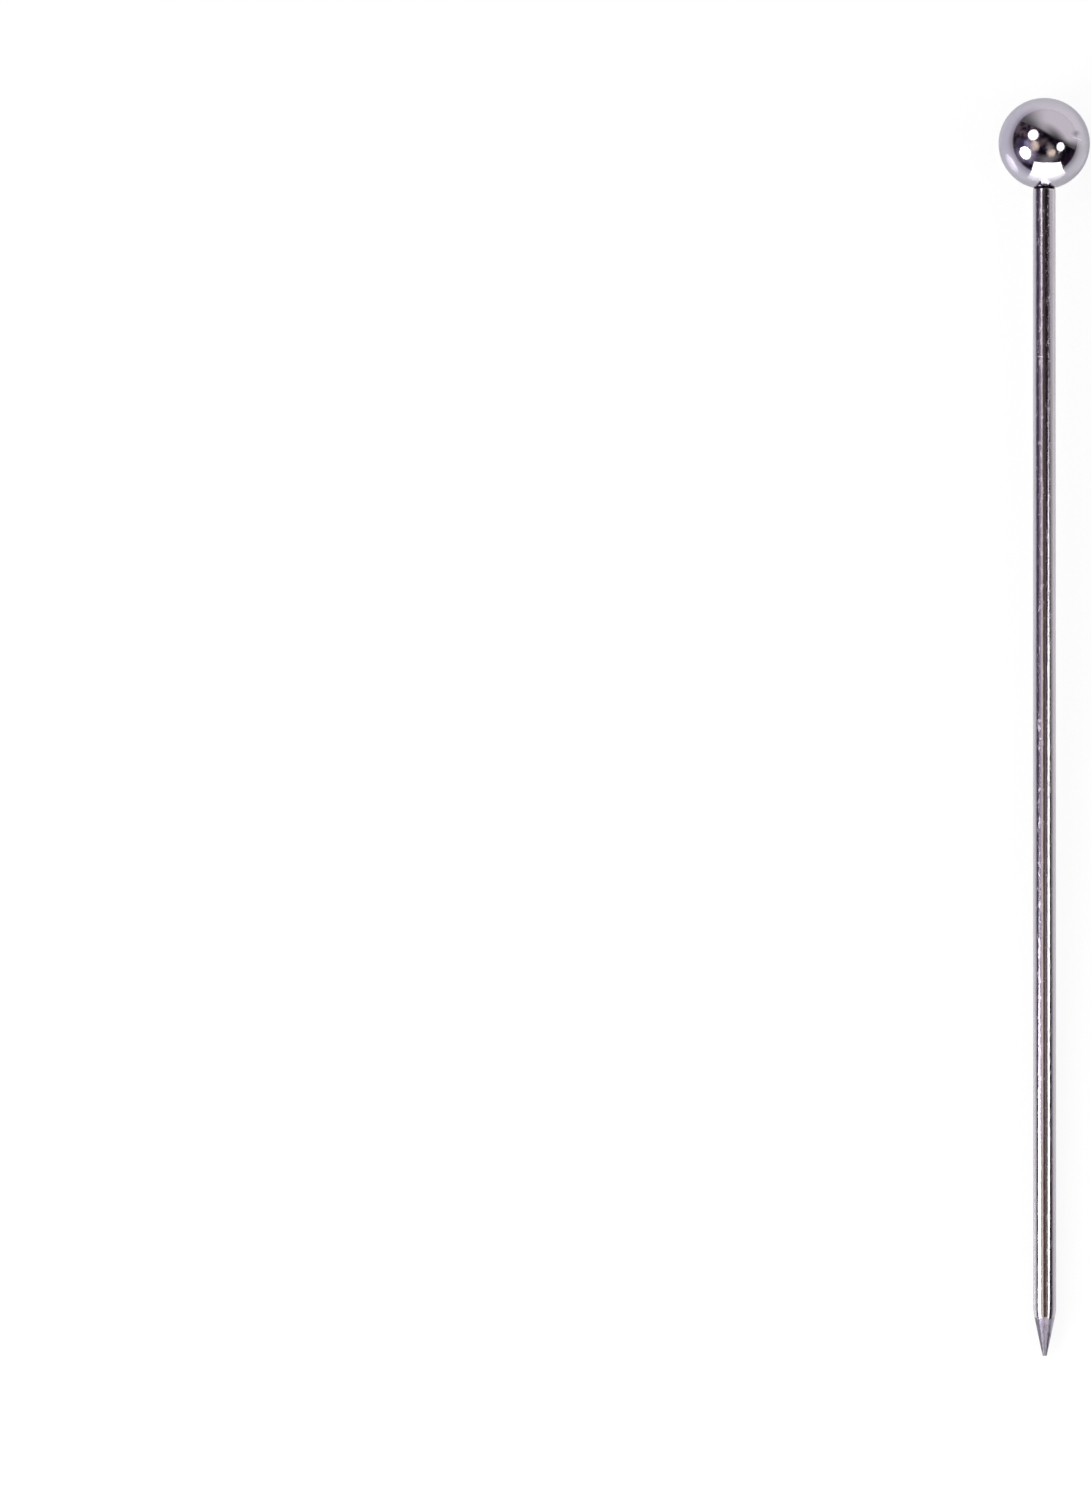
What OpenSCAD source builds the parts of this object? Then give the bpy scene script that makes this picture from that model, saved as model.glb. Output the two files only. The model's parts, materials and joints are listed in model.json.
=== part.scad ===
// Cocktail pick: a ball on a slim round rod that is ground to a point.
// It lies along Y as it comes to rest, on its ball and on the shoulder of its point.
// The origin is in the middle of its footprint, and the floor is at Z = 0.

/* [Pick] */
// Length from the crown of the ball to the end of the point
overall_length = 110; // [90:1:200]
// Diameter of the ball
ball_d = 8; // [6:0.5:12]
// Diameter of the rod
shaft_d = 2; // [1.8:0.1:3.5]

/* [Point] */
// Length of the ground point, from the corner that its cone would make with the shaft
point_length = 3.9; // [3:0.1:8]
// Width of the blunt end
tip_d = 0.36; // [0.3:0.02:0.8]
// Radius of the round between the shaft and the cone
point_blend = 4; // [1:0.5:6]
// Radius of the round on the edge of the blunt end
tip_round = 0.1; // [0.05:0.01:0.12]

/* [Seat of the ball] */
// Radius of the round on the edge of the rod's shoulder
shoulder_round = 0.15; // [0.05:0.01:0.25]
// Diameter of the spigot that carries the ball
spigot_d = 1.2; // [0.8:0.05:1.4]
// Length of the spigot
spigot_length = 3; // [1.5:0.1:4]
// Width of the chamfer on the end of the spigot
spigot_chamfer = 0.15; // [0.05:0.05:0.3]
// Gap between the spigot and the wall of its socket
socket_clearance = 0.01; // [0.01:0.01:0.05]
// Gap between the end of the spigot and the bottom of the socket's straight wall
socket_end_gap = 0.2; // [0.1:0.05:0.5]
// Angle of the cone that the drill leaves at the bottom of the socket
drill_angle = 118; // [90:1:135]

/* [Hidden] */
$fn = 96;

ball_r = ball_d / 2;
shaft_r = shaft_d / 2;
tip_r = tip_d / 2;
spigot_r = spigot_d / 2;
shoulder_r = shaft_r - shoulder_round;

// The rod's shoulder sits on a flat of its own width, which is this far from the ball's centre.
seat_distance = sqrt(pow(ball_r, 2) - pow(shoulder_r, 2));
shank_length = overall_length - ball_r - seat_distance;

socket_r = spigot_r + socket_clearance;
socket_depth = spigot_length + socket_end_gap;
drill_point = socket_r / tan(drill_angle / 2);

// The shank runs into the root of the point, and the two share this length of shaft.
root_overlap = shaft_d;
shank_end = shank_length - point_length - root_overlap;
point_root = -point_length - 2 * root_overlap;

// Each outline is a list of radius and height, with the round at each of its corners.
// The shank's heights start at its shoulder.
shank_corners = [
    [0, -spigot_length],
    [spigot_r - spigot_chamfer, -spigot_length],
    [spigot_r, spigot_chamfer - spigot_length],
    [spigot_r, 0],
    [shaft_r, 0],
    [shaft_r, shank_end],
    [0, shank_end]
];
shank_rounds = [0, 0, 0, 0, shoulder_round, 0, 0];
// The point's heights start at its blunt end.
point_corners = [
    [0, point_root],
    [shaft_r, point_root],
    [shaft_r, -point_length],
    [tip_r, 0],
    [0, 0]
];
point_rounds = [0, 0, point_blend, tip_round, 0];
BLEND = 2;
BLUNT_END = 3;

function unit(v) = v / norm(v);
// Directions of the two sides of a closed outline that leave its corner i
function side_back(list, i) = unit(list[(i + len(list) - 1) % len(list)] - list[i]);
function side_on(list, i) = unit(list[(i + 1) % len(list)] - list[i]);
// Half of the angle inside the outline at corner i
function half_angle(list, i) = acos(side_back(list, i) * side_on(list, i)) / 2;
// Distance from corner i to where a round leaves each side
function setback(list, i, radius) = radius / tan(half_angle(list, i));
// Centre of a round at corner i
function round_centre(list, i, radius) =
    list[i] + unit(side_back(list, i) + side_on(list, i)) * radius / sin(half_angle(list, i));

// Pose at rest: the floor touches the ball and the blend at the shoulder of the point.
// Centres are measured from the middle of the ball, as radius and height.
blunt_end = [0, overall_length - ball_r];
blend_centre = blunt_end + round_centre(point_corners, BLEND, point_blend);
lay_angle = atan(-blend_centre[0] / blend_centre[1]) + asin((ball_r - point_blend) / norm(blend_centre));
edge_centre = blunt_end + round_centre(point_corners, BLUNT_END, tip_round);
reach = edge_centre[1] * cos(lay_angle) + edge_centre[0] * sin(lay_angle) + tip_round;
ball_y = (reach - ball_r) / 2;

// Lays a piece that is drawn with the ball's centre at the origin and the point along +Z
module lying() {
    translate([0, ball_y, ball_r]) rotate([90 + lay_angle, 0, 0]) children();
}

// A flat outline beside the axis, whose corners are true arcs where a radius is given
module rounded_outline(corners, radii) {
    polygon([
        for (i = [0:len(corners) - 1])
            let (back = setback(corners, i, radii[i]))
            each radii[i] == 0
                ? [corners[i]]
                : [corners[i] + back * side_back(corners, i), corners[i] + back * side_on(corners, i)]
    ]);
    for (i = [0:len(corners) - 1]) if (radii[i] > 0) {
        centre = round_centre(corners, i, radii[i]);
        past = 2 * radii[i];
        intersection() {
            translate(centre) circle(radii[i]);
            translate([0, centre[1] - past]) square([centre[0] + past, 2 * past]);
        }
    }
}

// Solid ball with a spot-faced flat and a blind drilled socket
module ball() {
    color([0.80, 0.79, 0.82]) lying() difference() {
        sphere(ball_r);
        translate([0, 0, seat_distance]) cylinder(h = ball_r, r = ball_r);
        translate([0, 0, seat_distance - socket_depth]) {
            cylinder(h = socket_depth + ball_r, r = socket_r);
            translate([0, 0, -drill_point]) cylinder(h = drill_point, r1 = 0, r2 = socket_r);
        }
    }
}

// Rod in one piece: spigot, shoulder, shaft and ground point
module skewer() {
    color([0.72, 0.71, 0.75]) lying() translate([0, 0, seat_distance]) {
        rotate_extrude() rounded_outline(shank_corners, shank_rounds);
        translate([0, 0, shank_length]) rotate_extrude() rounded_outline(point_corners, point_rounds);
    }
}

ball();
skewer();
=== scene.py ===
"""A ball-topped steel cocktail pick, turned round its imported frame, on a pale light table."""

import json
import math

import bmesh
import bpy
from bpy.props import FloatProperty, FloatVectorProperty, IntProperty, PointerProperty
from mathutils import Matrix, Vector


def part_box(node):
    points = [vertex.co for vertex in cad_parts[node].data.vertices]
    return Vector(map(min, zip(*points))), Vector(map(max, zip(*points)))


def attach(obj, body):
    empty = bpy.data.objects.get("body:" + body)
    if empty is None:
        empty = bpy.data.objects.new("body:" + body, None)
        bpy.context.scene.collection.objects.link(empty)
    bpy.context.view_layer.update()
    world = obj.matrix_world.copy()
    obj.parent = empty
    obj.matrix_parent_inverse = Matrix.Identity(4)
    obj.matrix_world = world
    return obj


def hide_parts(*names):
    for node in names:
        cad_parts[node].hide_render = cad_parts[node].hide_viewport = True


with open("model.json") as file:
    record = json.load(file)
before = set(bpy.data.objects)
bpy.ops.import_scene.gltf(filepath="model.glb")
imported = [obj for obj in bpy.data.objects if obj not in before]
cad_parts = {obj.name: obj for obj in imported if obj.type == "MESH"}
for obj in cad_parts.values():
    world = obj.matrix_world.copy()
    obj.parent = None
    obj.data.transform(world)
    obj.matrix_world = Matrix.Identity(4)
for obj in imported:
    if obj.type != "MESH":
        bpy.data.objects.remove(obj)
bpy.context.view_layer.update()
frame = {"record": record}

bl_info = {
    "name": "Cocktail Pick",
    "version": (1, 0, 0),
    "blender": (4, 5, 0),
    "location": "View3D > Sidebar > Pick",
    "description": "Turns a ball-topped cocktail pick, finishes its steel and lights its table",
    "category": "Object",
}

MM = 0.001

# Where the pick lies: its axis runs from the middle of the ball down to the point.
SHAFT = next(mount for mount in frame["record"]["mounts"] if mount["name"] == "shaft")
BALL_LOW, BALL_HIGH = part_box("ball")
ROD_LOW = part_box("skewer")[0]
BALL_RADIUS = round((BALL_HIGH.x - BALL_LOW.x) / 2, 5)
# The origin is in the middle of the pick's footprint, so the crown lies as far out as the point.
BALL_CENTRE = Vector((0, -ROD_LOW.y - BALL_RADIUS, BALL_RADIUS))
AXIS = Vector(SHAFT["axis"]).normalized()
SIDE = Vector((1, 0, 0))
RISE = AXIS.cross(SIDE).normalized()
SHAFT_RADIUS = SHAFT["dims"]["r_mm"] * MM
POINT_REACH = (BALL_CENTRE.y - ROD_LOW.y) / -AXIS.y

# Facets of the turned outlines: arcs of the ball and of a round, and the longest straights
BALL_STEPS = 112
ROUND_STEPS = 16
SOCKET_STRAIGHT = 0.25 * MM
ROD_STRAIGHT = 0.6 * MM
# Edges sharper than this are shaded as edges
SHARP_ANGLE = math.radians(10)
# A radius below this lies on the axis
ON_AXIS = 1e-9

# Places on the steel, in millimetres: how far past the corner of the point's cone the drawn skin
# ends before it is frayed, and how far the mark across the rod is from the ball's centre
SKIN_PAST_CORNER = 0.86
ROD_MARK = 18.8
# How much distances across and up count in the dark spot painted on the ball as a reflection,
# against those along the axis, and the middle of the spot in the same measure
PAINTED_SPOT_SQUASH = (0.7, 0.3)
PAINTED_SPOT_MIDDLE = (1.84, 0.84, -0.64)

# The photograph's view: where its middle lies on the pick's level, its scale and the camera's lean
PHOTO_HEIGHT = 1500
PIXELS_PER_METRE = 11446
PHOTO_MIDDLE = Vector((-43.59, -2.17, 2.4)) * MM
CAMERA_LEAN = math.radians(3.9)
CAMERA_ROLL = math.radians(0.066)
SENSOR = 36

# The three round lamps, as seen from the ball: direction, distance, width in degrees and share
# of the level
LAMPS = {
    "lamp_upper_left": ((-0.492, 0.262, 0.83), 0.85, 26, 1.0),
    "lamp_lower_left": ((-0.757, -0.425, 0.496), 0.38, 28, 2.4),
    "lamp_right": ((0.633, -0.218, 0.740), 0.33, 20, 1.0),
}
# The pale panel overhead, as corners over the ball for a height of 1
PANEL_CORNERS = (
    (-13.0, 12.2), (-0.52, 0.70), (-0.08, 0.43), (0.222, 0.197), (0.50, 0.07),
    (0.86, 0.10), (1.18, -0.05), (1.50, -0.28), (14, -2.9), (14, 13.9), (-13.0, 13.9))
PANEL_HEIGHT = 0.155
PANEL_COLOUR = (1.0, 0.955, 0.965, 1)
# Its edge over the ball: the way that leads from it into the panel, its distance and the width
# over which the glow comes up, for a height of 1
PANEL_EDGE = ((0.549, 0.836, 0), 0.30, 0.9)
# The pale side of the room, as ways over the table: the glow starts where a bearing is square to
# such a way, and is full where the two come this near
PALE_SIDE = (((0.731, 0.682, 0), 0.8), ((0.156, 0.988, 0), 0.32))
# The white card past the point, as corners seen from the ball for a distance of 1
CARD_CORNERS = ((-0.45, 0.0), (-0.517, 0.647), (0.091, 0.684), (0.80, 0.509), (0.72, 0.0))
CARD_REACH = 1.3
# Soft patches of light, as seen from the ball: direction, distance, half the width and half the
# length in degrees, how far out it stays full, share of the level and colour
GLOWS = {
    "warm_glow": ((-0.475, -0.18, 0.862), 0.6, (18, 17), 0.35, 1.25, (1.0, 0.83, 0.66, 1)),
    "right_warm_glow": ((0.27, -0.475, 0.835), 0.38, (14, 14), 0.35, 1.35, (1.0, 0.83, 0.64, 1)),
    "violet_glow": ((-0.70, -0.10, 0.70), 0.45, (17, 12), 0.1, 0.65, (0.80, 0.70, 1.0, 1)),
    "lower_left_glow": ((-0.745, -0.40, 0.52), 0.5, (34, 34), 0.0, 0.7, (0.86, 0.78, 1.0, 1)),
    "faint_violet_glow": ((-0.80, -0.20, 0.55), 0.5, (30, 32), 0.0, 0.11, (0.5, 0.36, 1.0, 1)),
    "small_glow": ((-0.06, 0.0, 0.998), 1.0, (2.5, 3), 0.35, 0.45, (1.0, 0.9, 0.92, 1)),
    "brown_glow": ((-0.15, -0.05, 0.988), 0.9, (15, 22), 0.0, 0.16, (1.0, 0.76, 0.8, 1)),
    "lower_brown_glow": ((0.19, -0.27, 0.945), 0.26, (14, 14), 0.0, 0.42, (1.0, 0.88, 0.84, 1)),
    "low_grey_glow": ((0.12, -0.71, 0.69), 0.9, (38, 17), 0.0, 0.32, (1.0, 0.94, 0.95, 1)),
    "low_right_glow": ((0.60, -0.40, 0.69), 0.8, (8, 4), 0.2, 0.8, (1.0, 0.95, 0.93, 1)),
}
# What the panel keeps of its glow on the dark side of the room
PANEL_DARK_SHARE = 0.17
# Place in the cloud that frays a patch of light, per unit of the patch's direction, and its depth
CLOUD_STEP = 9
CLOUD_DEPTH = 0.9
# Share of plain white that the camera and the polish see in the table top, over its lit colour
CAMERA_WHITE = 0.86
POLISH_WHITE = 0.15
TABLE_ROUGHNESS = 0.13
BLACK = (0, 0, 0, 1)
WHITE = (1, 1, 1, 1)
# Tint of the table top left of the pick, as the polish sees it
TABLE_LILAC = (0.92, 0.90, 1.0)
# Half the width of the table and of the room, and the room's height
ROOM_REACH = 3.0
ROOM_HEIGHT = 3.0
# Ways over the table to the violet and to the brown part of the room
VIOLET_WAY = (-0.78, -0.5, 0)
BROWN_WAY = (-0.6, 0.8, 0)
# Colours of the room's parts in their dark and in their lighter patches, and of its pale rim and
# its pale side
ROOM_DARK = ((0.003, 0.002, 0.004, 1), (0.028, 0.015, 0.033, 1))
ROOM_VIOLET = ((0.006, 0.004, 0.014, 1), (0.13, 0.09, 0.17, 1))
ROOM_BROWN = ((0.02, 0.014, 0.02, 1), (0.18, 0.13, 0.16, 1))
ROOM_RIM = (0.3, 0.29, 0.33, 1)
ROOM_PALE = (0.95, 0.91, 0.92, 1)


class PickSizes(bpy.types.PropertyGroup):
    """Sizes of the two turned pieces."""

    overall_length: FloatProperty(
        name="Overall length",
        description="Length from the crown of the ball to the end of the point",
        default=round(BALL_RADIUS + POINT_REACH, 5), min=0.09, max=0.2, unit="LENGTH", precision=5)
    shoulder_round: FloatProperty(
        name="Shoulder round", description="Round on the edge of the rod under the ball",
        default=0.15 * MM, min=0.05 * MM, max=0.25 * MM, unit="LENGTH", precision=5)
    spigot_radius: FloatProperty(
        name="Spigot radius", description="Radius of the spigot inside the ball",
        default=0.6 * MM, min=0.4 * MM, max=0.7 * MM, unit="LENGTH", precision=5)
    spigot_length: FloatProperty(
        name="Spigot length", description="Length of the spigot inside the ball",
        default=3 * MM, min=1.5 * MM, max=3.5 * MM, unit="LENGTH", precision=5)
    spigot_chamfer: FloatProperty(
        name="Spigot chamfer", description="Chamfer on the end of the spigot",
        default=0.15 * MM, min=0.05 * MM, max=0.3 * MM, unit="LENGTH", precision=5)
    socket_clearance: FloatProperty(
        name="Socket clearance", description="Gap round the spigot in the ball",
        default=0.01 * MM, min=0.005 * MM, max=0.05 * MM, unit="LENGTH", precision=5)
    socket_end_gap: FloatProperty(
        name="Socket end gap", description="Gap past the end of the spigot",
        default=0.2 * MM, min=0.1 * MM, max=0.5 * MM, unit="LENGTH", precision=5)
    drill_angle: FloatProperty(
        name="Drill angle", description="Angle of the cone at the bottom of the socket",
        default=math.radians(118), min=math.radians(90), max=math.radians(135),
        unit="ROTATION")
    point_length: FloatProperty(
        name="Point length", description="Length of the ground point, from the corner of its cone",
        default=3.9 * MM, min=3 * MM, max=8 * MM, unit="LENGTH", precision=5)
    tip_radius: FloatProperty(
        name="Tip radius", description="Radius of the blunt end",
        default=0.18 * MM, min=0.15 * MM, max=0.4 * MM, unit="LENGTH", precision=5)
    point_blend: FloatProperty(
        name="Point blend", description="Round between the shaft and the point",
        default=4 * MM, min=1 * MM, max=6 * MM, unit="LENGTH", precision=5)
    tip_round: FloatProperty(
        name="Tip round", description="Round on the edge of the blunt end",
        default=0.1 * MM, min=0.05 * MM, max=0.12 * MM, unit="LENGTH", precision=5)
    segments: IntProperty(
        name="Segments", description="Facets round the axis", default=192, min=32, max=320)


class PickFinish(bpy.types.PropertyGroup):
    """Colours and polish of the steel."""

    ball_colour: FloatVectorProperty(
        name="Ball colour", description="Reflected colour of the polished ball",
        subtype="COLOR", size=4, default=(0.505, 0.48, 0.54, 1), min=0, max=1)
    smudge_colour: FloatVectorProperty(
        name="Smudge colour", description="Colour of the ball where its polish is dull",
        subtype="COLOR", size=4, default=(0.46, 0.435, 0.48, 1), min=0, max=1)
    # Painted reflections: the next two colours paint a dark spot and a thin light line into the
    # ball
    painted_spot_colour: FloatVectorProperty(
        name="Painted spot colour", description="Colour of the dark spot painted on the ball as a reflection",
        subtype="COLOR", size=4, default=(0.28, 0.265, 0.29, 1), min=0, max=1)
    painted_line_colour: FloatVectorProperty(
        name="Painted line colour", description="Colour of the scratch on the ball",
        subtype="COLOR", size=4, default=(0.74, 0.72, 0.76, 1), min=0, max=1)
    edge_tint: FloatVectorProperty(
        name="Edge tint", description="What the ball keeps of the light that grazes it",
        subtype="COLOR", size=4, default=(0.72, 0.72, 0.75, 1), min=0, max=1)
    rod_colour: FloatVectorProperty(
        name="Rod colour", description="Reflected colour of the drawn rod",
        subtype="COLOR", size=4, default=(0.53, 0.50, 0.545, 1), min=0, max=1)
    streak_colour: FloatVectorProperty(
        name="Streak colour", description="Colour of the rod along its darker drawing lines",
        subtype="COLOR", size=4, default=(0.40, 0.37, 0.39, 1), min=0, max=1)
    point_colour: FloatVectorProperty(
        name="Point colour", description="Reflected colour of the ground point",
        subtype="COLOR", size=4, default=(0.66, 0.63, 0.72, 1), min=0, max=1)
    # Used for the point's darker grinding streaks and for the shade painted on it
    point_streak_and_shade_colour: FloatVectorProperty(
        name="Point streak and shade colour", description="Colour of the darker streaks and the painted shade of the ground point",
        subtype="COLOR", size=4, default=(0.17, 0.155, 0.20, 1), min=0, max=1)
    end_colour: FloatVectorProperty(
        name="End colour", description="Colour of the blunt end of the point",
        subtype="COLOR", size=4, default=(0.36, 0.36, 0.35, 1), min=0, max=1)
    # Dirt and painted shade in the groove between ball and rod
    seam_dirt_and_shade_colour: FloatVectorProperty(
        name="Seam colour", description="Colour of the groove between ball and rod",
        subtype="COLOR", size=4, default=(0.03, 0.028, 0.034, 1), min=0, max=1)
    ball_roughness: FloatProperty(
        name="Ball roughness", description="Roughness of the polished ball",
        default=0.05, min=0, max=1)
    rod_roughness: FloatProperty(
        name="Rod roughness", description="Roughness of the drawn rod",
        default=0.15, min=0, max=1)
    point_roughness: FloatProperty(
        name="Point roughness", description="Roughness of the ground point",
        default=0.55, min=0, max=1)


class TableLight(bpy.types.PropertyGroup):
    """Floor, lamps and camera."""

    floor_colour: FloatVectorProperty(
        name="Floor colour", description="Colour of the table top",
        subtype="COLOR", size=4, default=(0.9, 0.9, 0.9, 1), min=0, max=1)
    lamp_level: FloatProperty(
        name="Lamp level", description="Radiance of the three lamps", default=3.2, min=0)
    panel_level: FloatProperty(
        name="Panel level", description="Radiance of the pale panel", default=1.02, min=0)
    card_level: FloatProperty(
        name="Card level", description="Radiance of the white card", default=4.5, min=0)
    glow_level: FloatProperty(
        name="Glow level", description="Radiance of the soft glows between the lamps",
        default=1.0, min=0)
    sky_level: FloatProperty(
        name="Sky level", description="Radiance of the white surroundings on the table top",
        default=0.8, min=0)
    camera_distance: FloatProperty(
        name="Camera distance", description="Height of the camera over the pick",
        default=1.09, min=0.3, max=5, unit="LENGTH")


class PickSettings(bpy.types.PropertyGroup):
    """Everything that the panel shows."""

    sizes: PointerProperty(type=PickSizes)
    finish: PointerProperty(type=PickFinish)
    light: PointerProperty(type=TableLight)


def settings():
    """The panel's values."""
    return bpy.context.scene.cocktail_pick


# Sockets that share their names with others: those of a Mix node set to colours, and the number
# that a dot product, a length or a distance gives
MIX_FACTOR, MIX_START, MIX_END, MIX_COLOUR = 0, 6, 7, 2
DOT = 1


class Signal:
    """One socket of a node tree, so that shader maths reads as Python."""

    def __init__(self, tree, socket=None):
        self.tree = tree
        self.socket = socket

    def node(self, kind, options=None, inputs=None, output=0):
        """Adds a node: its settings first, then the values or links of its sockets."""
        made = self.tree.nodes.new(kind)
        for name, value in (options or {}).items():
            setattr(made, name, value)
        for name, value in (inputs or {}).items():
            if isinstance(value, Signal):
                self.tree.links.new(value.socket, made.inputs[name])
            else:
                made.inputs[name].default_value = value
        return Signal(self.tree, made.outputs[output] if made.outputs else None)

    def math(self, operation, *values):
        """Number that a Math node makes of these values."""
        return self.node("ShaderNodeMath", {"operation": operation}, dict(enumerate(values)))

    def vector(self, operation, *values, output=0):
        """What a Vector Math node makes of this vector and these values."""
        inputs = dict(enumerate((self, *values)))
        return self.node("ShaderNodeVectorMath", {"operation": operation}, inputs, output)

    def __add__(self, other):
        return self.math("ADD", self, other)

    __radd__ = __add__

    def __sub__(self, other):
        return self.math("SUBTRACT", self, other)

    def __rsub__(self, other):
        return self.math("SUBTRACT", other, self)

    def __mul__(self, other):
        return self.math("MULTIPLY", self, other)

    __rmul__ = __mul__

    def __truediv__(self, other):
        return self.math("DIVIDE", self, other)

    def __rtruediv__(self, other):
        return self.math("DIVIDE", other, self)

    def __abs__(self):
        return self.math("ABSOLUTE", self)

    def smooth(self, low, high):
        """0 at low, 1 at high and a soft step between them; low may be the greater."""
        return self.node(
            "ShaderNodeMapRange", {"interpolation_type": "SMOOTHSTEP"},
            {"Value": self, "From Min": low, "From Max": high})

    def blend(self, start, end):
        """Colour that goes from start to end as this goes from 0 to 1."""
        return self.node(
            "ShaderNodeMix", {"data_type": "RGBA"},
            {MIX_FACTOR: self, MIX_START: start, MIX_END: end}, MIX_COLOUR)

    def joined(self, y, z):
        """Vector of this and two more numbers."""
        return self.node("ShaderNodeCombineXYZ", {}, {0: self, 1: y, 2: z})

    def noise(self, scale=1.0, detail=2.0, roughness=0.5):
        """Soft noise from 0 to 1 at the place that this vector gives."""
        return self.node(
            "ShaderNodeTexNoise", {},
            {"Vector": self, "Scale": scale, "Detail": detail, "Roughness": roughness})

    def spots(self, scale, size):
        """1 in the middle of scattered spots and 0 outside them."""
        near = self.node(
            "ShaderNodeTexVoronoi", {}, {"Vector": self, "Scale": scale, "Randomness": 1.0})
        return near.smooth(size, 0.0)

    def hairlines(self, width):
        """1 along fine lines, where soft noise crosses its middle."""
        return abs(self.noise(detail=1.0) - 0.5).smooth(width, 0.0)


def seat_distance(shoulder_round):
    """Distance from the ball's centre to the flat that the rod's shoulder sits on."""
    return math.sqrt(BALL_RADIUS ** 2 - (SHAFT_RADIUS - shoulder_round) ** 2)


def rounded(corners, steps):
    """Outline through corners given as distance along the axis, radius and the round there."""
    points = []
    for i, (distance, radius, fillet) in enumerate(corners):
        corner = Vector((distance, radius))
        if fillet == 0:
            points.append(corner)
            continue
        back = (Vector(corners[i - 1][:2]) - corner).normalized()
        on = (Vector(corners[i + 1][:2]) - corner).normalized()
        half = back.angle(on) / 2
        centre = corner + (back + on).normalized() * fillet / math.sin(half)
        start = corner + back * fillet / math.tan(half) - centre
        end = corner + on * fillet / math.tan(half) - centre
        sweep = -start.angle_signed(end)
        points += [
            centre + Matrix.Rotation(sweep * step / steps, 2) @ start for step in range(steps + 1)
        ]
    return points


def spaced(points, longest):
    """The same outline with points added, so that none of its straights is longer than that."""
    result = points[:1]
    for start, end in zip(points, points[1:]):
        count = max(1, math.ceil((end - start).length / longest))
        result += [start.lerp(end, step / count) for step in range(1, count + 1)]
    return result


def turned(name, outline, segments):
    """Mesh of an outline turned round the pick's axis, closed where it meets the axis."""
    build = bmesh.new()
    rings = []
    for distance, radius in outline:
        centre = BALL_CENTRE + AXIS * distance
        if radius < ON_AXIS:
            rings.append([build.verts.new(centre)])
            continue
        angles = [math.tau * i / segments for i in range(segments)]
        rings.append([
            build.verts.new(centre + (SIDE * math.cos(angle) + RISE * math.sin(angle)) * radius)
            for angle in angles
        ])
    for ring, following in zip(rings, rings[1:]):
        for i in range(segments):
            j = (i + 1) % segments
            corners = [ring[i % len(ring)], ring[j % len(ring)]]
            corners += [following[j % len(following)], following[i % len(following)]]
            build.faces.new(list(dict.fromkeys(corners)))
    bmesh.ops.recalc_face_normals(build, faces=build.faces[:])
    for face in build.faces:
        face.smooth = True
    mesh = bpy.data.meshes.new(name)
    build.to_mesh(mesh)
    build.free()
    mesh.set_sharp_from_angle(angle=SHARP_ANGLE)
    return mesh


def place_piece(name, mesh, material, node):
    """Puts a turned piece where its CAD node is."""
    piece = bpy.data.objects.new(name, mesh)
    bpy.context.scene.collection.objects.link(piece)
    mesh.materials.append(material)
    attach(piece, "root")
    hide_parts(node)


def new_material(name):
    """An empty node material, and its tree as a signal."""
    material = bpy.data.materials.new(name)
    material.use_nodes = True
    material.node_tree.nodes.clear()
    return material, Signal(material.node_tree)


def surface(start, **sockets):
    """Ends a material in a metal shader with these sockets, whose spaces are underscores."""
    inputs = {name.replace("_", " "): value for name, value in sockets.items()}
    shader = start.node("ShaderNodeBsdfPrincipled", {}, {"Metallic": 1.0, **inputs})
    start.node("ShaderNodeOutputMaterial", {}, {"Surface": shader})


def pick_space(start):
    """Place on the pick in millimetres from the ball's centre: across, up and along the axis."""
    place = start.node("ShaderNodeTexCoord", output="Object")
    place = place.vector("SUBTRACT", BALL_CENTRE).vector("MULTIPLY", (1 / MM,) * 3)
    return tuple(place.vector("DOT_PRODUCT", way, output=DOT) for way in (SIDE, RISE, AXIS))


def relief(start, height, micrometres, **normal):
    """Normal of a surface whose height of 1 is that many micrometres, over a normal if given."""
    distance = micrometres * MM * MM
    return start.node(
        "ShaderNodeBump", {}, {"Height": height, "Strength": 1.0, "Distance": distance, **normal})


def ball_material():
    """Mirror polish with faint smudges, hairlines and a few small dents, and painted reflections.
    """
    finish = settings().finish
    material, start = new_material("polished_ball")
    across, up, along = pick_space(start)
    place = across.joined(up, along)
    smudge = place.noise(0.32, 3.0, 0.55).smooth(0.42, 0.68)
    hairlines = (
        (across * 0.5).joined(up * 7, along * 7).hairlines(0.02)
        + (across * 6 + along * 2).joined(up * 0.5, along * 6 - across * 2).hairlines(0.016)
        + (across * 7).joined(up * 6 - along * 3, along * 0.6 + up * 0.3).hairlines(0.018)
    )
    dents = place.spots(0.55, 0.05)
    mottle = place.noise(2.6, 3.0, 0.6)
    # Painted reflections: a light line and a dark spot beside it, both on the side that faces up;
    # they also dull the polish there
    above = up.smooth(0.5, 1.0)
    painted_line_band = abs(along - across * 0.23 + 0.82).smooth(0.05, 0.01)
    painted_light_line = painted_line_band * abs(across - 2.78).smooth(0.5, 0.3) * above
    squashed = (across * PAINTED_SPOT_SQUASH[0]).joined(up * PAINTED_SPOT_SQUASH[1], along)
    from_spot = squashed.vector("DISTANCE", PAINTED_SPOT_MIDDLE, output=DOT)
    painted_dark_spot = (from_spot + mottle * 0.4).smooth(0.6, 0.2) * above
    colour = (smudge * 0.6 + hairlines * 0.2).blend(
        tuple(finish.ball_colour), tuple(finish.smudge_colour))
    colour = painted_dark_spot.blend(colour, tuple(finish.painted_spot_colour))
    colour = painted_light_line.blend(colour, tuple(finish.painted_line_colour))
    surface(
        start,
        Base_Color=colour,
        Roughness=(
            smudge * 0.025 + hairlines * 0.05 + mottle * 0.02 + painted_dark_spot * 0.1 + painted_light_line * 0.2
            + (finish.ball_roughness - 0.02)),
        Specular_Tint=tuple(finish.edge_tint),
        Normal=relief(start, mottle * 0.5 - hairlines * 0.12 - dents * 1.4, 1.2),
    )
    return material


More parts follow.
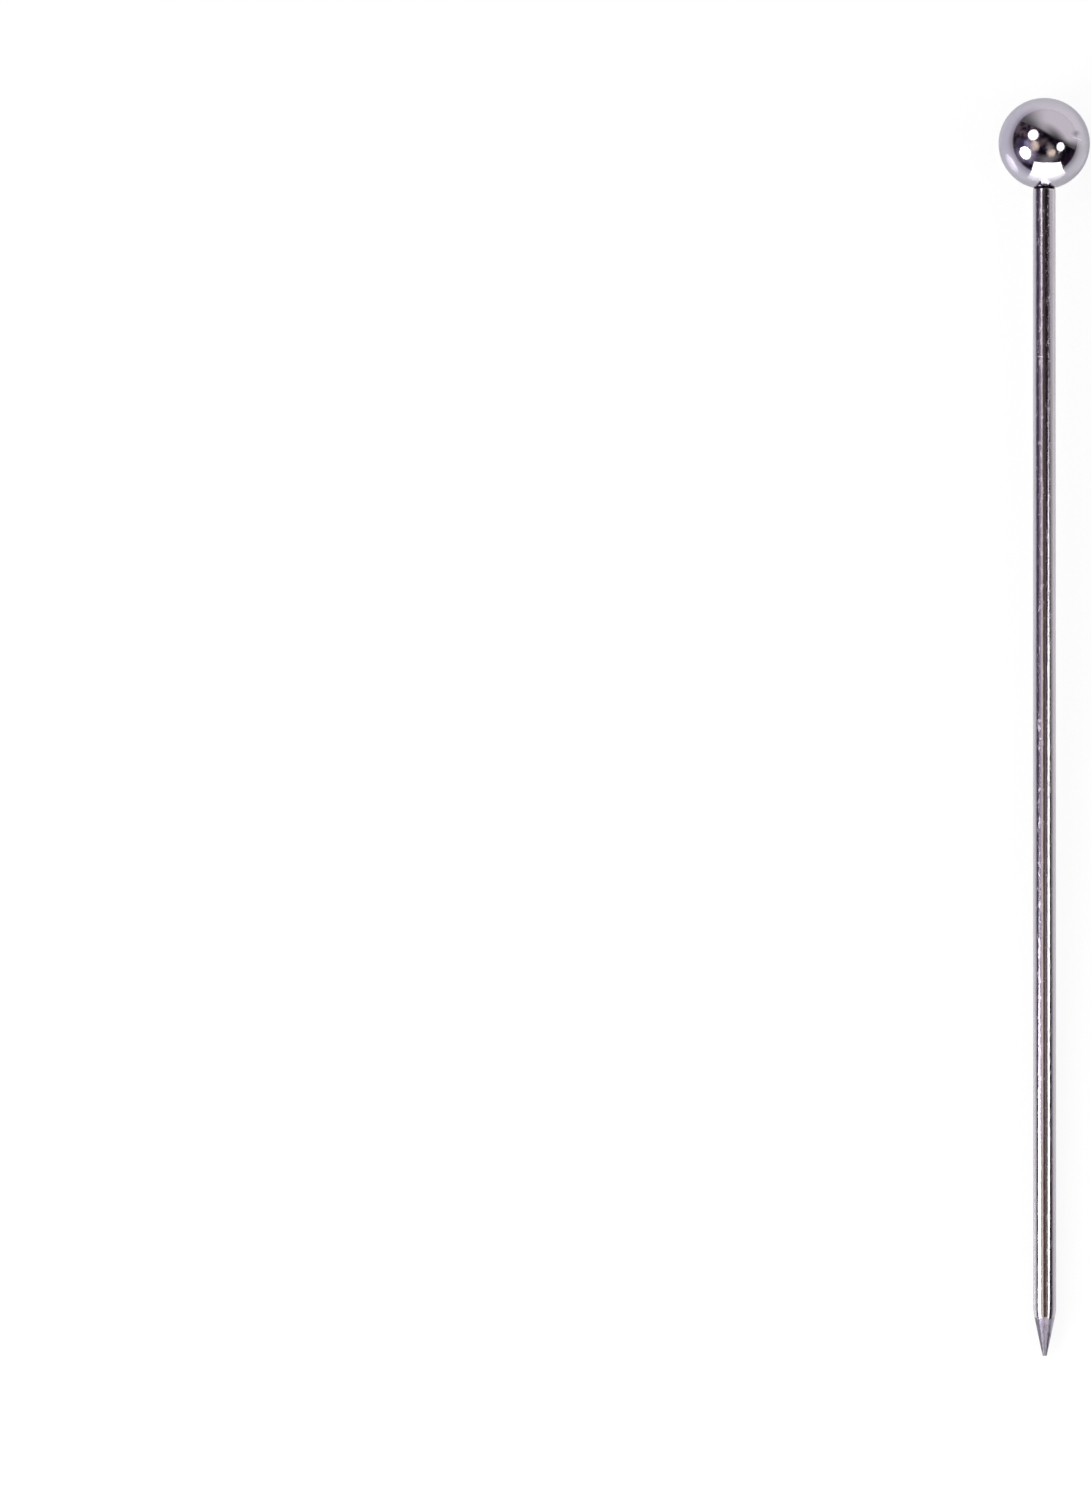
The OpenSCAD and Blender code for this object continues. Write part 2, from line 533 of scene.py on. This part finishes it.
def rod_material():
    """Drawn rod with lengthwise lines, a ground point with painted shade, and dirt and painted
    shade in the seam under the ball.
    """
    finish = settings().finish
    sizes = settings().sizes
    material, start = new_material("drawn_rod")
    across, up, along = pick_space(start)

    # What the drawing and the handling left on the skin
    lines = (across * 6).joined(up * 6, along * 0.12).noise(1.0, 4.0, 0.62)
    fine_lines = (across * 17).joined(up * 17, along * 0.5).noise(1.0, 2.0, 0.6)
    waves = (across * 1.6).joined(up * 1.6, along * 0.045).noise(1.0, 1.0)
    grain = (across * 5).joined(up * 5, along * 3.2).noise(1.0, 3.0, 0.65)
    nicks = (across * 1.1).joined(up * 1.1, along * 2.4).spots(1.0, 0.15)
    pits = across.joined(up, along).spots(3.4, 0.16)
    worn = across.joined(up, along * 0.12).noise(0.9, 2.0).smooth(0.48, 0.62)
    ripples = (across * 2.2).joined(up * 2.2, along * 0.9).noise(1.0, 2.0)
    blotches = (across * 4).joined(up * 4, along * 1.4).noise(1.0, 3.0, 0.6).smooth(0.5, 0.68)
    ticks = (across * 1.6).joined(up * 1.6, along * 6).noise(1.0, 2.0, 0.6).smooth(0.58, 0.72)
    ticks = ticks * worn
    mark = abs(along - ROD_MARK + lines * 0.1).smooth(0.09, 0.0) * worn

    # The ground point has a ragged start, and its lines run together at the blunt end
    blunt = (sizes.overall_length - BALL_RADIUS) / MM
    skin_end = blunt - sizes.point_length / MM + SKIN_PAST_CORNER
    ragged = (across * 3).joined(up * 3, along * 0.4).noise(1.0, 3.0, 0.6) * 0.9
    ground = (along + ragged).smooth(skin_end + 0.12, skin_end + 0.26)
    end_face = along.smooth(blunt - 0.14, blunt - 0.04)
    # Darker towards the blunt end, over about its last half millimetre
    darker_end = (along + ragged * 0.4).smooth(blunt - 0.55, blunt + 0.1)
    narrowing = (blunt + 0.75 - along).math("MAXIMUM", 0.3)
    spread = 16 / narrowing
    grinding = (across * spread).joined(up * spread, along * 1.1).noise(1.0, 4.0, 0.7)
    crystals = across.joined(up, along).noise(6.5, 3.0, 0.7)
    mottles = across.joined(up, along * 0.6).noise(3.4, 4.0, 0.7)
    low = along.smooth(blunt - 3.2, blunt - 1.0)
    # Painted shade: darker bands along the left flank, the right one and the upper left of the
    # ground point, which stand in for dark reflections and tone down the side that the lamps light
    round_axis = across.joined(up, 0.0).vector("NORMALIZE")
    left_flank, right_flank, upper_left = (
        round_axis.vector("DOT_PRODUCT", way, output=DOT)
        for way in ((-1, 0, 0), (0.62, 0.78, 0), (-0.36, 0.93, 0)))
    painted_shade_bands = (
        left_flank.smooth(0.52, 0.70) * 0.75
        + right_flank.smooth(0.955, 0.995) * (low * 0.35 + 0.35)
        + upper_left.smooth(0.86, 1.0) * 0.42)

    # Dirt and painted shade in the groove between the ball and the round of the shoulder, dark on
    # the top and the underside of the rod and fading out at its sides
    seat = seat_distance(sizes.shoulder_round) / MM
    groove_dirt_and_shade = abs(along - (seat + 0.04)).smooth(0.1, 0.05) * abs(across).smooth(0.98, 0.8)

    colour = (lines.smooth(0.5, 0.78) * 0.8).blend(
        tuple(finish.rod_colour), tuple(finish.streak_colour))
    # Tone of the ground point: its grinding and mottles, darker towards the blunt end, and the
    # painted shade of the bands
    grinding_and_painted_shade = (
        grinding.smooth(0.42, 0.64) * 0.25 + mottles.smooth(0.45, 0.62) * 0.3 + low * 0.25 + painted_shade_bands)
    ground_colour = grinding_and_painted_shade.blend(
        tuple(finish.point_colour), tuple(finish.point_streak_and_shade_colour))
    ground_colour = (end_face * 0.3 + darker_end * 0.7).blend(
        ground_colour, tuple(finish.end_colour))
    colour = groove_dirt_and_shade.blend(ground.blend(colour, ground_colour), tuple(finish.seam_dirt_and_shade_colour))
    drawn_roughness = (
        lines * 0.06 + fine_lines * 0.05 + blotches * 0.14 + nicks * 0.2 + ticks * 0.1 + mark * 0.2
        + (finish.rod_roughness - 0.07))
    ground_roughness = crystals * 0.12 + end_face * 0.2 + (finish.point_roughness - 0.06)
    # Heights of the relief in micrometres
    drawn_relief = (
        waves * 4 + ripples * 7 + lines * 2.8 + fine_lines * 0.6 + grain * 1.9 - ticks * 0.6
        - nicks * 0.9 - pits * 0.4 - mark * 1.2)
    ground_relief = grinding * 6.0 + crystals * 3.0 + 4.0

    # The drawn skin stays straight up to the ragged start of the ground point
    straight = start.node(
        "ShaderNodeVectorTransform",
        {"vector_type": "NORMAL", "convert_from": "OBJECT", "convert_to": "WORLD"},
        {"Vector": across.joined(up * RISE.y, up * RISE.z).vector("NORMALIZE")})
    drawn = 1 - ground
    skin = along.smooth(seat + 0.25, seat + 0.35) * drawn
    normal = skin.blend(start.node("ShaderNodeNewGeometry", output="Normal"), straight)
    height = drawn_relief * drawn + ground_relief * ground
    surface(
        start,
        Base_Color=colour,
        Roughness=drawn_roughness * drawn + ground_roughness * ground,
        Normal=relief(start, height, 1.0, Normal=normal),
    )
    return material


class TurnBall(bpy.types.Operator):
    """Turns the ball with the flat and the socket that the rod sits in"""

    bl_idname = "pick.turn_ball"
    bl_label = "Turn the ball"

    def execute(self, context):
        sizes = settings().sizes
        seat_radius = SHAFT_RADIUS - sizes.shoulder_round
        seat_angle = math.asin(seat_radius / BALL_RADIUS)
        sweep = seat_angle - math.pi
        angles = [math.pi + sweep * step / BALL_STEPS for step in range(BALL_STEPS + 1)]
        outline = [Vector((math.cos(angle), math.sin(angle))) * BALL_RADIUS for angle in angles]
        outline[0].y = 0
        seat = outline[-1].x
        socket_radius = sizes.spigot_radius + sizes.socket_clearance
        bottom = seat - sizes.spigot_length - sizes.socket_end_gap
        outline += spaced([
            Vector((seat, socket_radius)),
            Vector((bottom, socket_radius)),
            Vector((bottom - socket_radius / math.tan(sizes.drill_angle / 2), 0)),
        ], SOCKET_STRAIGHT)
        mesh = turned("pick_ball", outline, sizes.segments)
        place_piece("pick_ball", mesh, ball_material(), "ball")
        return {"FINISHED"}


class TurnSkewer(bpy.types.Operator):
    """Turns the rod from its spigot to its ground point"""

    bl_idname = "pick.turn_skewer"
    bl_label = "Turn the skewer"

    def execute(self, context):
        sizes = settings().sizes
        seat = seat_distance(sizes.shoulder_round)
        spigot_end = seat - sizes.spigot_length
        blunt = sizes.overall_length - BALL_RADIUS
        outline = rounded([
            (spigot_end, 0, 0),
            (spigot_end, sizes.spigot_radius - sizes.spigot_chamfer, 0),
            (spigot_end + sizes.spigot_chamfer, sizes.spigot_radius, 0),
            (seat, sizes.spigot_radius, 0),
            (seat, SHAFT_RADIUS, sizes.shoulder_round),
            (blunt - sizes.point_length, SHAFT_RADIUS, sizes.point_blend),
            (blunt, sizes.tip_radius, sizes.tip_round),
            (blunt, 0, 0),
        ], ROUND_STEPS)
        mesh = turned("pick_skewer", spaced(outline, ROD_STRAIGHT), sizes.segments)
        place_piece("pick_skewer", mesh, rod_material(), "skewer")
        return {"FINISHED"}


def add_stage(name, corners, faces, material):
    """A stage piece with these corners and faces."""
    mesh = bpy.data.meshes.new(name)
    mesh.from_pydata([tuple(corner) for corner in corners], [], faces)
    mesh.materials.append(material)
    piece = bpy.data.objects.new(name, mesh)
    bpy.context.scene.collection.objects.link(piece)
    return piece


def hide_card(card):
    """Leaves a card to be seen in the polish alone."""
    card.visible_camera = False
    card.visible_diffuse = False
    card.visible_shadow = False


def pale_share(place):
    """1 on the pale side of the room and 0 on its dark side, for a place seen from the ball."""
    bearing = place.vector("MULTIPLY", (1, 1, 0)).vector("NORMALIZE")
    left, right = (
        bearing.vector("DOT_PRODUCT", way, output=DOT).smooth(0, full) for way, full in PALE_SIDE)
    return left * right


def panel_share(place):
    """Share of the panel's glow at a place seen from the ball."""
    way, distance, width = PANEL_EDGE
    into = [number / PANEL_HEIGHT for number in way]
    inside = place.vector("DOT_PRODUCT", into, output=DOT)
    # On the left the glow comes up at once
    left = place.vector("DOT_PRODUCT", (1 / PANEL_HEIGHT, 0, 0), output=DOT).smooth(0.6, -0.4) * 0.8
    glow = (
        left * inside.smooth(distance - 0.02, distance + 0.15)
        + (1 - left) * inside.smooth(distance - 0.04, distance + width))
    return (pale_share(place) * (1 - PANEL_DARK_SHARE) + PANEL_DARK_SHARE) * glow


def add_card(name, corners, level, colour, share=None):
    """A glowing card that shows in the polish, evenly or with a share of its glow at each place."""
    material, start = new_material(name)
    if share:
        place = start.node("ShaderNodeTexCoord", output="Object").vector("SUBTRACT", BALL_CENTRE)
        colour = share(place).blend(BLACK, colour)
    glow = start.node("ShaderNodeEmission", {}, {"Color": colour, "Strength": level})
    start.node("ShaderNodeOutputMaterial", {}, {"Surface": glow})
    hide_card(add_stage(name, corners, [tuple(range(len(corners)))], material))


def add_glow(name, way, reach, angles, full, level, colour):
    """A soft patch of light that shows in the polish, brightest in its middle."""
    material, start = new_material(name)
    place = start.node("ShaderNodeTexCoord", output="Object")
    cloud_place = place.vector("ADD", [number * CLOUD_STEP for number in way])
    cloud = cloud_place.noise(1.7, 3.0, 0.6) - 0.5
    inside = (place.vector("LENGTH", output=DOT) + cloud * CLOUD_DEPTH).smooth(1.0, full)
    clear = start.node("ShaderNodeBsdfTransparent")
    glow = start.node("ShaderNodeEmission", {}, {"Color": colour, "Strength": level})
    mixed = start.node("ShaderNodeMixShader", {}, {0: inside, 1: clear, 2: glow})
    start.node("ShaderNodeOutputMaterial", {}, {"Surface": mixed})
    corners = [(-1, -1, 0), (1, -1, 0), (1, 1, 0), (-1, 1, 0)]
    patch = add_stage(name, corners, [(0, 1, 2, 3)], material)
    way = Vector(way).normalized()
    patch.location = BALL_CENTRE + way * reach
    patch.rotation_euler = way.to_track_quat("Z", "Y").to_euler()
    patch.scale = [reach * math.tan(math.radians(angle)) for angle in angles] + [1]
    hide_card(patch)


def add_lamp(name, spot, size, level):
    """A round soft lamp that faces the ball and shows at this level of radiance."""
    light = bpy.data.lights.new(name, "AREA")
    light.shape = "DISK"
    light.size = size
    light.energy = level * math.pi * math.pi * (size / 2) ** 2
    lamp = bpy.data.objects.new(name, light)
    bpy.context.scene.collection.objects.link(lamp)
    lamp.location = spot
    lamp.rotation_euler = (spot - BALL_CENTRE).to_track_quat("Z", "Y").to_euler()
    lamp.visible_camera = False


def table_material():
    """A pale glossy table top that the camera sees as almost white."""
    light = settings().light
    material, start = new_material("table_top")
    camera_ray = start.node("ShaderNodeLightPath", output="Is Camera Ray")
    glossy_ray = start.node("ShaderNodeLightPath", output="Is Glossy Ray")
    share = camera_ray * CAMERA_WHITE + glossy_ray * POLISH_WHITE
    place = start.node("ShaderNodeTexCoord", output="Object")
    left = place.vector("DOT_PRODUCT", (1 / MM, 0, 0), output=DOT).smooth(-1, -15) * glossy_ray
    lit = tuple(light.floor_colour)
    lilac = tuple(number * tint for number, tint in zip(lit, TABLE_LILAC)) + (1,)
    top = start.node("ShaderNodeBsdfPrincipled", {}, {
        "Base Color": share.blend(left.blend(lit, lilac), BLACK),
        "Roughness": TABLE_ROUGHNESS,
        "Emission Color": share.blend(BLACK, WHITE),
        "Emission Strength": 1.0})
    start.node("ShaderNodeOutputMaterial", {}, {"Surface": top})
    return material


def room_material():
    """A dark mottled room with one pale side and a low pale rim."""
    material, start = new_material("dark_room")
    place = start.node("ShaderNodeTexCoord", output="Object").vector("SUBTRACT", BALL_CENTRE)
    way = place.vector("NORMALIZE")
    height = way.vector("DOT_PRODUCT", (0, 0, 1), output=DOT)
    patches = way.noise(3.2, 4.0, 0.62).smooth(0.40, 0.64)
    violet = way.vector("DOT_PRODUCT", VIOLET_WAY, output=DOT).smooth(0.1, 0.6)
    brown = way.vector("DOT_PRODUCT", BROWN_WAY, output=DOT).smooth(0.2, 0.7)
    walls = violet.blend(patches.blend(*ROOM_DARK), patches.blend(*ROOM_VIOLET))
    walls = brown.blend(walls, patches.blend(*ROOM_BROWN))
    walls = height.smooth(0.08, 0.0).blend(walls, ROOM_RIM)
    pale = pale_share(place) * height.smooth(0.16, 0.10)
    colour = pale.blend(walls, ROOM_PALE)
    glow = start.node("ShaderNodeEmission", {}, {"Color": colour, "Strength": 1.0})
    start.node("ShaderNodeOutputMaterial", {}, {"Surface": glow})
    material.cycles.emission_sampling = "NONE"
    return material


def set_world(level):
    """White surroundings that light the table top at this level."""
    world = bpy.data.worlds.new("white_surroundings")
    bpy.context.scene.world = world
    world.cycles.sampling_method = "NONE"
    world.use_nodes = True
    world.node_tree.nodes.clear()
    start = Signal(world.node_tree)
    seen = start.node("ShaderNodeLightPath", output="Is Camera Ray")
    for ray in ("Is Glossy Ray", "Is Transmission Ray"):
        seen = start.math("MAXIMUM", seen, start.node("ShaderNodeLightPath", output=ray))
    glow = start.node(
        "ShaderNodeBackground", {},
        {"Color": seen.blend((level, level, level, 1), WHITE), "Strength": 1.0})
    start.node("ShaderNodeOutputWorld", {}, {"Surface": glow})


def set_camera(distance):
    """The photograph's camera, almost straight over the table."""
    data = bpy.data.cameras.new("photo_camera")
    data.sensor_width = SENSOR
    data.lens = SENSOR * distance * PIXELS_PER_METRE / PHOTO_HEIGHT
    camera = bpy.data.objects.new("photo_camera", data)
    bpy.context.scene.collection.objects.link(camera)
    turn = Matrix.Rotation(CAMERA_LEAN, 3, "X") @ Matrix.Rotation(CAMERA_ROLL, 3, "Z")
    camera.location = PHOTO_MIDDLE + turn @ Vector((0, 0, distance))
    camera.rotation_euler = turn.to_euler()
    bpy.context.scene.camera = camera


class LightTable(bpy.types.Operator):
    """Sets the table top, the lamps and cards, the room and the camera"""

    bl_idname = "pick.light_table"
    bl_label = "Light the table"

    def execute(self, context):
        light = settings().light
        near, far = BALL_LOW.z, ROOM_HEIGHT
        sides = [(-1, -1), (1, -1), (1, 1), (-1, 1)]
        corners = [(x * ROOM_REACH, y * ROOM_REACH, z) for z in (near, far) for x, y in sides]
        add_stage("table_top", corners[:4], [(0, 1, 2, 3)], table_material())
        walls = [(i, (i + 1) % 4, (i + 1) % 4 + 4, i + 4) for i in range(4)]
        hide_card(add_stage("dark_room", corners, walls + [(4, 5, 6, 7)], room_material()))
        panel = [
            BALL_CENTRE + Vector((x * PANEL_HEIGHT, y * PANEL_HEIGHT, PANEL_HEIGHT))
            for x, y in PANEL_CORNERS
        ]
        add_card("pale_panel", panel, light.panel_level, PANEL_COLOUR, panel_share)
        card = [
            (BALL_CENTRE.x + x * CARD_REACH, BALL_CENTRE.y - CARD_REACH, z * CARD_REACH)
            for x, z in CARD_CORNERS
        ]
        add_card("white_card", card, light.card_level, WHITE)
        for name, (way, reach, width, share) in LAMPS.items():
            spot = BALL_CENTRE + Vector(way).normalized() * reach
            size = 2 * reach * math.tan(math.radians(width) / 2)
            add_lamp(name, spot, size, light.lamp_level * share)
        for name, (way, reach, angles, full, share, colour) in GLOWS.items():
            add_glow(name, way, reach, angles, full, light.glow_level * share, colour)
        set_world(light.sky_level)
        set_camera(light.camera_distance)
        bpy.context.scene.view_settings.view_transform = "Standard"
        return {"FINISHED"}


class PickPanel(bpy.types.Panel):
    """Sizes, finish and light of the cocktail pick"""

    bl_idname = "VIEW3D_PT_cocktail_pick"
    bl_label = "Cocktail Pick"
    bl_space_type = "VIEW_3D"
    bl_region_type = "UI"
    bl_category = "Pick"

    def draw(self, context):
        pick = context.scene.cocktail_pick
        for title, group, operators in (
            ("Sizes", pick.sizes, (TurnBall, TurnSkewer)),
            ("Finish", pick.finish, ()),
            ("Light", pick.light, (LightTable,)),
        ):
            box = self.layout.box()
            box.label(text=title)
            for name in group.bl_rna.properties.keys():
                if name not in ("rna_type", "name"):
                    box.prop(group, name)
            for operator in operators:
                box.operator(operator.bl_idname)


CLASSES = (
    PickSizes, PickFinish, TableLight, PickSettings, TurnBall, TurnSkewer, LightTable, PickPanel)


def register():
    for each in CLASSES:
        bpy.utils.register_class(each)
    bpy.types.Scene.cocktail_pick = PointerProperty(type=PickSettings)


def unregister():
    del bpy.types.Scene.cocktail_pick
    for each in reversed(CLASSES):
        bpy.utils.unregister_class(each)


def main():
    register()
    bpy.ops.pick.turn_ball()
    bpy.ops.pick.turn_skewer()
    bpy.ops.pick.light_table()


if __name__ == "__main__":
    main()
